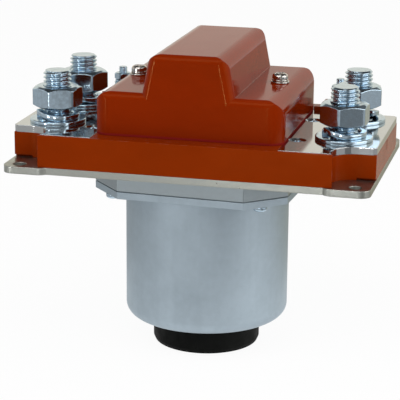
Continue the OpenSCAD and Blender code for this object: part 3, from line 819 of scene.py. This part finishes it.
FINISHES = {finish.name: finish for finish in (
    Plated("zinc_hardware", (0.52, 0.66, 0.77), (0.08, 0.20), marks=1400.0, groove=5e-6,
           cloud=420.0, mottle=0.24, soften=0.0005),
    Plated("zinc_can", (0.43, 0.51, 0.57), (0.48, 0.60), lay=Lay.DRAWN_UP, marks=260.0,
           groove=6e-6, cloud=55.0, mottle=0.14, tarnish=(0.34, 0.40, 0.44), soften=0.0005),
    Plated("zinc_yoke", (0.35, 0.405, 0.43), (0.30, 0.48), lay=Lay.ALONG_X, marks=700.0,
           cloud=90.0, mottle=0.18, soften=0.0006),
    Plated("zinc_sheet", (0.42, 0.43, 0.385), (0.26, 0.44), lay=Lay.ALONG_X, marks=600.0,
           cloud=110.0, mottle=0.2, soften=0.0006),
    Plated("nickel_plate", (0.54, 0.56, 0.57), (0.05, 0.12), lay=Lay.ALONG_X, marks=800.0,
           groove=1.2e-6, cloud=80.0, mottle=0.08, tarnish=(0.6, 0.57, 0.5), soften=0.0005),
    Plated("nickel_hardware", (0.60, 0.56, 0.52), (0.07, 0.16), cloud=500.0, mottle=0.1),
    Plated("core_steel", (0.48, 0.49, 0.51), (0.22, 0.38), lay=Lay.TURNED, marks=1500.0,
           groove=6e-6),
    Plated("stainless", (0.58, 0.58, 0.57), (0.14, 0.28), lay=Lay.TURNED, marks=1800.0,
           groove=3e-6),
    Plated("spring_steel", (0.30, 0.30, 0.31), (0.25, 0.42), cloud=500.0, mottle=0.3),
    Plated("sleeve_brass", (0.66, 0.46, 0.18), (0.2, 0.38), lay=Lay.DRAWN_UP, mottle=0.25,
           tarnish=(0.35, 0.22, 0.1)),
    Plated("bare_copper", (0.72, 0.34, 0.20), (0.22, 0.42), lay=Lay.ALONG_X, cloud=150.0,
           mottle=0.4, tarnish=(0.30, 0.12, 0.07)),
    Plated("silver_alloy", (0.80, 0.79, 0.75), (0.28, 0.45), cloud=600.0, mottle=0.35,
           tarnish=(0.36, 0.34, 0.3)),
    Moulding("orange_moulding", (0.212, 0.021, 0.0005), (0.10, 0.22)),
    Moulding("orange_cover", (0.203, 0.015, 0.0005), (0.07, 0.15), skin=4e-6, foot=COVER_FOOT),
    Rubber("black_rubber", (0.0032, 0.0036, 0.0032), (0.55, 0.72)),
    Rubber("lead_sleeve", (0.012, 0.012, 0.013), (0.32, 0.45)),
    Pressed("fibre_sheet", (0.035, 0.035, 0.033), (0.55, 0.8), fleck=(0.12, 0.115, 0.1)),
    Pressed("red_fibre", (0.28, 0.06, 0.03), (0.5, 0.75), fleck=(0.45, 0.18, 0.1)),
    Pressed("bobbin_nylon", (0.66, 0.62, 0.48), (0.38, 0.55), fleck=(0.85, 0.83, 0.74),
            size=700.0, flow=(1.0, 1.0, 0.15), amount=0.35),
    Banded("enamelled_wire", (0.46, 0.14, 0.05), (0.18, 0.32), metal=0.85),
    Banded("coil_tape", (0.60, 0.42, 0.05), (0.2, 0.34), pitch=0.009, groove=5e-5,
           shade=(0.36, 0.22, 0.02)),
)}


# Meshes and pieces.


def linked(name: str, data: bpy.types.ID) -> bpy.types.Object:
    """Puts a mesh, lamp or camera into the scene.

    Args:
        name: Name of the object.
        data: What it shows.

    Returns:
        The object.
    """
    obj = bpy.data.objects.new(name, data)
    bpy.context.scene.collection.objects.link(obj)
    return obj


def make_mesh(name: str, patches: Sequence[Patch], crease: float) -> bpy.types.Mesh:
    """Puts patches into one mesh, closes seams and poles, and turns the faces outwards.

    Args:
        name: Name of the mesh.
        patches: Surfaces in millimetres.
        crease: Angle in degrees past which an edge stays sharp.

    Returns:
        The mesh in metres.
    """
    starts = np.cumsum([0] + [p.points.size // 3 for p in patches])
    points = np.concatenate([p.points.reshape(-1, 3) for p in patches]) * MM
    quads = np.concatenate([p.quads() + s for p, s in zip(patches, starts)])
    mesh = bpy.data.meshes.new(name)
    mesh.from_pydata(points, [], quads)
    merge, collapse = 0.4e-6, 0.2e-6
    work = bmesh.new()
    work.from_mesh(mesh)
    bmesh.ops.remove_doubles(work, verts=work.verts, dist=merge)
    bmesh.ops.dissolve_degenerate(work, edges=work.edges, dist=collapse)
    bmesh.ops.recalc_face_normals(work, faces=work.faces)
    work.to_mesh(mesh)
    work.free()
    mesh.polygons.foreach_set("use_smooth", np.ones(len(mesh.polygons), dtype=bool))
    mesh.set_sharp_from_angle(angle=math.radians(crease))
    mesh.update()
    return mesh


def publish(name: str, patches: Sequence[Patch], nodes: Sequence[str],
            slot: str = "zinc_hardware", body: str = "housing",
            crease: float = 38.0) -> bpy.types.Object:
    """Makes a piece, dresses it, puts it on its body and lets it stand for its nodes.

    Args:
        name: Name of the piece.
        patches: Surfaces in millimetres.
        nodes: Nodes that it stands for.
        slot: Material slot of the record, which names the finish.
        body: Body that it moves with.
        crease: Angle in degrees past which an edge stays sharp.

    Returns:
        The object.
    """
    obj = linked(name, make_mesh(name, patches, crease))
    obj.data.materials.append(FINISHES[slot].material())
    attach(obj, body)
    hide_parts(*nodes)
    LOG.info("piece %s: %d faces, on %s, stands for %s", name, len(obj.data.polygons), body,
             ", ".join(nodes))
    return obj


def copied(patch: Patch, places: Sequence[Pair], turns: Sequence[float]) -> list[Patch]:
    """A copy of the patch at each place, turned by as many degrees as its entry says."""
    return [patch.moved(x, y, turn=turn) for (x, y), turn in zip(places, turns)]


# Sub-assemblies.


@dataclass
class PowerTerminals:
    """Four threaded studs with their washers and nuts, in millimetres.

    The turns are in degrees, for the left front, left back, right front and right back.

    Attributes:
        thread: Thread of the studs.
        head: Hexagon of the bolt heads in the base.
        head_h: Height of the bolt heads.
        nut: Hexagon of the nuts.
        washer_r: Outer radius of the flat washers.
        stud_turns: Turns of the studs.
        nut_turns: Turns of the nuts.
        ring_turns: Directions of the spring washers' low ends.
    """

    thread: Thread = Thread(6.0, 1.75)
    head: Hexagon = Hexagon(18.0)
    head_h: float = 7.0
    nut: Hexagon = Hexagon(19.0)
    washer_r: float = 12.0
    stud_turns: Sequence[float] = (-177.0, -97.0, 97.0, 177.0)
    nut_turns: Sequence[float] = (28.0, 11.5, 28.0, 44.0)
    ring_turns: Sequence[float] = (190.0, 228.0, 193.0, 305.0)

    def build(self) -> None:
        """Makes studs, flat washers, spring washers and nuts."""
        _, far = span("flat_washers")
        x, y = far[0] - self.washer_r, far[1] - self.washer_r
        places = [(i * x, j * y) for i in (-1, 1) for j in (-1, 1)]
        end = [(self.thread.outer - 0.95, 0.0), (3.4, 0.02), (1.2, -0.03), (POLE, -0.03)]
        stud = bolt("power_studs", self.thread, self.head, self.head_h, 0.9, end, 84)
        publish("power_studs_threaded", copied(stud, places, self.stud_turns), ["power_studs"])
        flat = washer("flat_washers", 6.5, self.washer_r, 0.45, 96)
        publish("power_flat_washers", copied(flat, places, [0.0] * 4), ["flat_washers"])
        ring = split_ring("spring_washers", 6.4, 9.2, 2.2, 0.0, 120)
        publish("power_spring_washers", copied(ring, places, self.ring_turns),
                ["spring_washers"])
        nut = self.nut.nut("power_nuts", self.thread, 96)
        publish("power_hex_nuts", copied(nut, places, self.nut_turns), ["power_nuts"],
                crease=28.0)


@dataclass
class CoilTerminals:
    """Two small studs at the back for the coil supply, each with two nuts, in millimetres.

    Attributes:
        thread: Thread of the studs.
        nut: Hexagon of the nuts and of the stud heads.
        washer_r: Outer radius of the flat washers.
        head_h: Height of the stud heads.
    """

    thread: Thread = Thread(2.0, 0.7)
    nut: Hexagon = Hexagon(7.0, 0.12)
    washer_r: float = 3.9
    head_h: float = 2.8

    def build(self) -> None:
        """Makes studs, lower nuts, upper nuts, flat washers and spring washers."""
        _, far = span("coil_flat_washers")
        x, y = far[0] - self.washer_r, far[1] - self.washer_r
        end = [(self.thread.outer - 0.4, 0.0), (POLE, 0.02)]
        stud = bolt("coil_studs", self.thread, self.nut, self.head_h, 0.35, end, 48, fine=8)
        lower, upper = (self.nut.nut(node, self.thread, 72)
                        for node in ("coil_lower_nuts", "coil_nuts"))
        flat = washer("coil_flat_washers", 2.2, self.washer_r, 0.2, 64)
        ring = split_ring("coil_spring_washers", 2.1, 3.6, 0.8, 183.0, 72)
        for name, node, patch, turns in (
                ("coil_studs_threaded", "coil_studs", stud, (15.0, 80.0)),
                ("coil_lower_hex_nuts", "coil_lower_nuts", lower, (8.0, 8.0)),
                ("coil_upper_hex_nuts", "coil_nuts", upper, (22.0, 22.0)),
                ("coil_flat_washers_soft", "coil_flat_washers", flat, (0.0, 0.0)),
                ("coil_spring_washers_split", "coil_spring_washers", ring, (0.0, 0.0))):
            publish(name, copied(patch, [(-x, y), (x, y)], turns), [node], crease=30.0)


@dataclass
class CoverFixings:
    """Two bright screws with captive washers that hold the cover, in millimetres.

    Attributes:
        head_r: Radius of the pan heads.
        head_h: Height of the pan heads.
        thread: Thread of the screws.
        threaded: Length of the thread.
        washer_r: Outer radius of the flat washers.
        turns: Turn of the left and of the right set in degrees.
    """

    head_r: float = 3.35
    head_h: float = 2.4
    thread: Thread = Thread(2.0, 0.7)
    threaded: float = 9.0
    washer_r: float = 3.95
    turns: Pair = (12.0, 0.0)

    def build(self) -> None:
        """Makes the screws and both kinds of washer."""
        _, far = span("cover_flat_washers")
        x, y = far[0] - self.washer_r, far[1] - self.washer_r
        low, high = span("cover_screws")
        seat = high[2] - self.head_h
        screw = CrossScrew(Head.PAN, self.head_r, self.head_h, self.thread, seat - low[2],
                           self.threaded).surface(72).moved(0.0, 0.0, seat)
        flat = washer("cover_flat_washers", 2.2, self.washer_r, 0.22, 72)
        ring = split_ring("cover_spring_washers", 2.1, 3.45, 0.8, 198.0, 72)
        for name, node, patch in (
                ("cover_pan_screws", "cover_screws", screw),
                ("cover_flat_washers_soft", "cover_flat_washers", flat),
                ("cover_spring_washers_split", "cover_spring_washers", ring)):
            publish(name, copied(patch, [(-x, y), (x, y)], self.turns), [node],
                    "nickel_hardware", crease=32.0)


@dataclass
class SmallScrews:
    """Flush screws of the contact plates and pan screws of the flange, in millimetres.

    Attributes:
        plate_thread: Thread of the flush screws.
        sink: Radius of the countersinks, which is the reach of the screws' nodes.
        clamp_thread: Thread of the flange screws.
        head_r: Radius of the flange screws' heads.
        head_h: Height of these heads.
        clamp_turn: Turn of the flange screws about the can, in degrees.
    """

    plate_thread: Thread = Thread(1.5, 0.5)
    sink: float = 3.05
    clamp_thread: Thread = Thread(2.0, 0.7)
    head_r: float = 3.0
    head_h: float = 2.3
    clamp_turn: float = -3.0

    def build(self) -> None:
        """Makes the four flush screws and the four flange screws."""
        low, high = span("plate_screws")
        gap, under = 0.4, 0.25
        flush = CrossScrew(Head.FLUSH, self.sink - gap, 1.6, self.plate_thread,
                           high[2] - low[2], 5.0, cross_turn=15.0).surface(56)
        x, near, far = high[0] - self.sink, low[1] + self.sink, high[1] - self.sink
        where = [(-x, near, 0.0), (x, near, 31.0), (-x, far, 64.0), (x, far, 12.0)]
        patches = [flush.moved(px, py, high[2] - under, turn) for px, py, turn in where]
        publish("plate_flush_screws", patches, ["plate_screws"], crease=32.0)
        low, high = span("clamp_screws")
        seat = low[2] + self.head_h
        pan = CrossScrew(Head.PAN, self.head_r, self.head_h, self.clamp_thread,
                         high[2] - seat, 12.0).surface(56)
        down = Patch(pan.points * np.array([1.0, 1.0, -1.0]))
        a = math.radians(abs(self.clamp_turn))
        far = (high[0] - self.head_r) / (math.cos(a) + math.sin(a))
        corners = far * np.array([[[i, j, 0.0] for i in (-1, 1) for j in (-1, 1)]])
        spots = Patch(corners).moved(0.0, 0.0, seat, self.clamp_turn).points[0].tolist()
        patches = [down.moved(*spot, turn=40.0 + 65.0 * k) for k, spot in enumerate(spots)]
        publish("flange_pan_screws", patches, ["clamp_screws"], crease=32.0)


@dataclass
class HiddenHardware:
    """Springs and nuts inside the can and the cover, in millimetres."""

    def build(self) -> None:
        """Makes both springs, the core's nut and the shaft's nut."""
        spring = publish("return_spring_wire", [wire_spring("return_spring", 4.2, 0.7, 7.5)],
                         ["return_spring"], "spring_steel", crease=60.0)
        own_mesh(spring)
        spring = publish("contact_spring_wire", [wire_spring("contact_spring", 7.8, 1.0, 3.5)],
                         ["contact_spring"], "spring_steel", "plunger", crease=60.0)
        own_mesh(spring)
        core = Hexagon(17.0).nut("core_nut", Thread(5.0, 1.5), 84)
        publish("core_hex_nut", [core], ["core_nut"], crease=28.0)
        tip = Hexagon(13.0).nut("shaft_nut", Thread(4.0, 1.25), 84)
        publish("shaft_hex_nut", [tip], ["shaft_nut"], body="plunger", crease=28.0)


@dataclass
class CarriedNodes:
    """Nodes whose shape is right and that only take a finish."""

    def build(self) -> None:
        """Gives each node the finish of its own material slot."""
        slots = {s["node"]: s["material_slot"] for s in frame["record"]["subparts"]}
        for name, obj in sorted(frame["nodes"].items()):
            finish = FINISHES[slots[name]]
            if not obj.material_slots:
                obj.data.materials.append(None)
            for slot in obj.material_slots:
                slot.material = finish.material()
            LOG.info("node %s: finish %s, hidden %s", name, finish.name, obj.hide_render)


# Studio, with lengths in metres and angles in degrees.


class Band(Enum):
    """Long edges of the cards, each as distance from the axis and height."""

    FLOOR = ((0.12, 0.002), (1.9, 0.002))
    STRIP = ((0.58, 0.003), (1.4, 0.003))
    STAND = ((1.9, 0.002), (1.9, 1.1))
    WALL = ((1.9, 0.06), (1.9, 1.1))
    HIGH = ((1.9, 1.1), (1.35, 1.75))
    ROOF = ((1.35, 1.75), (0.4, 1.75))


@dataclass
class Studio:
    """Pale floor, soft lamps and a camera that stands where the photograph was taken.

    Attributes:
        azimuth: Camera's turn to the right of the front.
        elevation: Camera's height above the horizon.
        roll: Camera's roll.
        distance: Distance from the target.
        target: Point that the camera looks at, with its height over the mounting plate.
        focal: Focal length in pixels of a picture 400 pixels wide.
        fill: Level of the sky for diffuse light.
        sky_seen: Level of the sky to the eye and in gloss.
        floor_seen: Level of the floor to the eye and in gloss.
    """

    azimuth: float = 13.8125
    elevation: float = 15.6796
    roll: float = 0.4884
    distance: float = 0.73957
    target: Triple = (-0.003439, 0.0, -0.022152)
    focal: float = 1690.83
    fill: float = 0.62
    sky_seen: float = 1.0
    floor_seen: float = 0.94

    def build(self) -> None:
        """Makes floor, sky, lamps, cards and the camera."""
        self.floor()
        self.sky()
        self.lamp("soft_top", (-0.2, -0.74, 1.02), (0.0, 0.0, 0.08), (1.1, 0.7), 6.2)
        self.lamp("soft_left", (-0.95, -0.62, 0.5), (0.0, 0.0, 0.09), (1.0, 1.2), 1.2)
        self.lamp("soft_right", (0.95, -0.2, 0.5), (0.0, 0.0, 0.09), (1.2, 1.2), 7.2)
        self.card("grey_front", Band.FLOOR, (-150.0, -58.0), 0.5)
        self.card("grey_stand", Band.STAND, (-160.0, -40.0), 0.35)
        self.card("dark_high", Band.HIGH, (-170.0, -30.0), 0.04)
        self.card("dark_top", Band.ROOF, (-190.0, 170.0), 0.06)
        self.card("dark_back", Band.HIGH, (-30.0, 190.0), 0.15)
        self.card("warm_back", Band.WALL, (10.0, 170.0), 0.88, (1.02, 0.98, 0.86))
        self.card("strip_left", Band.STRIP, (-131.0, -125.0), 26.0)
        self.card("strip_right", Band.STRIP, (-96.0, -91.0), 26.0)
        self.card("dim_right", Band.FLOOR, (-58.0, -32.0), 0.22)
        self.card("grey_right", Band.FLOOR, (-32.0, 30.0), 0.48)
        self.card("warm_right", Band.FLOOR, (30.0, 120.0), 0.44, (1.04, 1.0, 0.8))
        self.card("pale_left", Band.FLOOR, (-240.0, -150.0), 0.5)
        self.camera()

    def by_ray(self, g: Graph, rest: float, seen: float) -> Socket:
        """Level by the kind of ray: rest + (seen - rest) * max(glossy, transmission, camera).

        Args:
            g: Graph that it goes into.
            rest: Level for diffuse and shadow rays.
            seen: Level for the rays that show the background, straight or in gloss and glass.

        Returns:
            The level.
        """
        path = g.add("LightPath")
        mirror = g.sums("MAXIMUM", path["Is Glossy Ray"], path["Is Transmission Ray"])
        either = g.sums("MAXIMUM", mirror, path["Is Camera Ray"])
        return g.sums("MULTIPLY_ADD", either, seen - rest, rest)

    def sheet(self, name: str, points: Array,
              faces: Sequence[Sequence[int]]) -> tuple[bpy.types.Object, Graph]:
        """Sheet of the studio with an empty material.

        Args:
            name: Name of the object, its mesh and its material.
            points: Corners, of shape (count, 3).
            faces: Corner numbers of each face.

        Returns:
            The object and its material's graph.
        """
        mesh = bpy.data.meshes.new(name)
        mesh.from_pydata(points, [], faces)
        mesh.materials.append(bpy.data.materials.new(name))
        return linked(name, mesh), Graph(mesh.materials[0])

    def floor(self) -> None:
        """Wide pale floor that takes the object's shadow, a little under the foot."""
        half, low, grey = 4.0, -0.0002, (0.9, 0.9, 0.9, 1.0)
        corners = [[-half, -half, low], [half, -half, low], [half, half, low], [-half, half, low]]
        floor, g = self.sheet("floor", np.array(corners), [(0, 1, 2, 3)])
        pale, glow = g.add("BsdfDiffuse", {"Color": grey})[0], g.add("Emission")[0]
        seen = self.by_ray(g, 0.0, self.floor_seen)
        g.add("OutputMaterial", {0: g.add("MixShader", {0: seen, 1: pale, 2: glow})[0]})

    def sky(self) -> None:
        """World that is white to the eye and gives a lower, even fill."""
        world = bpy.data.worlds.new("studio")
        bpy.context.scene.world = world
        g = Graph(world)
        strength = self.by_ray(g, self.fill, self.sky_seen)
        g.add("OutputWorld", {"Surface": g.add("Background", {"Strength": strength})[0]})

    def lamp(self, name: str, where: Triple, aim: Triple, size: Pair, watts: float) -> None:
        """One soft lamp.

        Args:
            name: Name of the lamp.
            where: Its middle.
            aim: The point that it faces.
            size: Its width and height.
            watts: Its power.
        """
        data = bpy.data.lights.new(name, "AREA")
        data.shape, data.size, data.size_y, data.energy = "RECTANGLE", *size, watts
        lamp = linked(name, data)
        lamp.location = where
        lamp.rotation_euler = (Vector(aim) - Vector(where)).to_track_quat("-Z", "Y").to_euler()
        lamp.visible_camera = False

    def card(self, name: str, band: Band, turn: Pair, glow: float,
             tint: Triple = (1.0, 1.0, 1.0)) -> None:
        """Card carried round the object's axis, which shows only in gloss.

        Args:
            name: Name of the card.
            band: Its long edges.
            turn: Its two ends as directions.
            glow: Its brightness, 1 for white.
            tint: Its linear colour.
        """
        a = np.radians(np.linspace(*turn, 25))
        rows = [np.stack([far * np.cos(a), far * np.sin(a), np.full_like(a, rise)], -1)
                for far, rise in band.value]
        k = np.arange(len(a) - 1)
        quads = np.stack([k, k + 1, k + 1 + len(a), k + len(a)], -1)
        card, g = self.sheet(name, np.concatenate(rows), quads)
        light = g.add("Emission", {"Color": (*tint, 1.0), "Strength": glow})[0]
        g.add("OutputMaterial", {"Surface": light})
        for ray in ("camera", "diffuse", "shadow", "transmission"):
            setattr(card, "visible_" + ray, False)

    def camera(self) -> None:
        """Camera from its azimuth, elevation, roll and distance about the target."""
        plate_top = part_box("mounting_plate")[1].z
        a, e, turn = (math.radians(v) for v in (self.azimuth, self.elevation, self.roll))
        back = Vector((math.sin(a) * math.cos(e), -math.cos(a) * math.cos(e), math.sin(e)))
        right = (-back).cross(Vector((0.0, 0.0, 1.0))).normalized()
        up = right.cross(-back)
        c, s = math.cos(turn), math.sin(turn)
        axes = Matrix((right * c + up * s, up * c - right * s, back)).transposed().to_4x4()
        sensor, picture = 36.0, 400.0
        data = bpy.data.cameras.new("camera")
        data.sensor_width, data.lens = sensor, self.focal * sensor / picture
        data.clip_start, data.clip_end = 0.01, 100.0
        camera = linked("camera", data)
        spot = Vector(self.target) + Vector((0.0, 0.0, plate_top)) + back * self.distance
        camera.matrix_world = Matrix.Translation(spot) @ axes
        bpy.context.scene.camera = camera


def main() -> None:
    """Builds the sub-assemblies in order, then the studio."""
    logging.basicConfig(level=logging.INFO, format="%(name)s: %(message)s")
    for part in (PowerTerminals(), CoilTerminals(), CoverFixings(), SmallScrews(),
                 HiddenHardware(), CarriedNodes(), Studio()):
        LOG.info("building %s", type(part).__name__)
        part.build()
    bpy.context.scene.view_settings.view_transform = "Standard"


if __name__ == "__main__":
    main()
